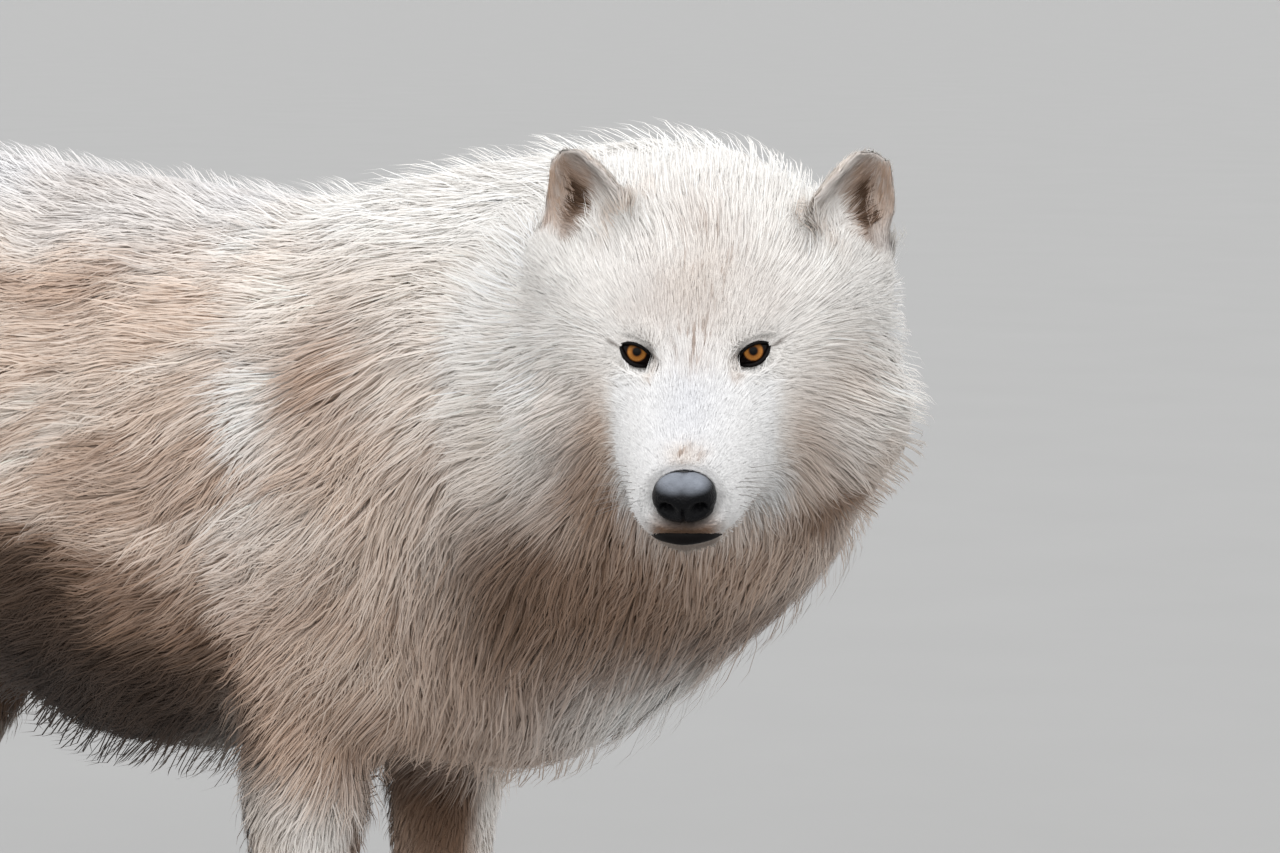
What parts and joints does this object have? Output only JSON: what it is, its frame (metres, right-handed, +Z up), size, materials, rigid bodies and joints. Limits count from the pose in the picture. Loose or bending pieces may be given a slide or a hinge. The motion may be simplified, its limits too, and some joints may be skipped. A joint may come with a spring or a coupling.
{
  "type": "arctic wolf",
  "caption": "Arctic wolf in its white winter coat, standing, the head turned to its right: a still, life-size model.",
  "frame": {"origin": "middle of the bounding box, on the floor the four paws stand on", "axes": "+X along the body towards the chest, +Y to the wolf's left, +Z up"},
  "size_m": [1.3586, 0.4006, 0.8201],
  "materials": {
    "coat": "long soft fur, white to cream with tan flanks",
    "nose_leather": "fine pebbled, moist",
    "eye": "polished"
  },
  "bodies": {
    "root": {"chest": "coat", "ear_left": "coat", "ear_right": "coat", "eye_left": "eye", "eye_right": "eye", "foreleg_forearm_left": "coat", "foreleg_forearm_right": "coat", "foreleg_pastern_left": "coat", "foreleg_pastern_right": "coat", "foreleg_paw_left": "coat", "foreleg_paw_right": "coat", "head": "coat", "hindleg_gaskin_left": "coat", "hindleg_gaskin_right": "coat", "hindleg_paw_left": "coat", "hindleg_paw_right": "coat", "hindleg_shank_left": "coat", "hindleg_shank_right": "coat", "hindleg_thigh_left": "coat", "hindleg_thigh_right": "coat", "loin": "coat", "lower_jaw": "coat", "neck": "coat", "nose": "nose_leather", "rump": "coat", "tail": "coat"}
  },
  "joints": []
}
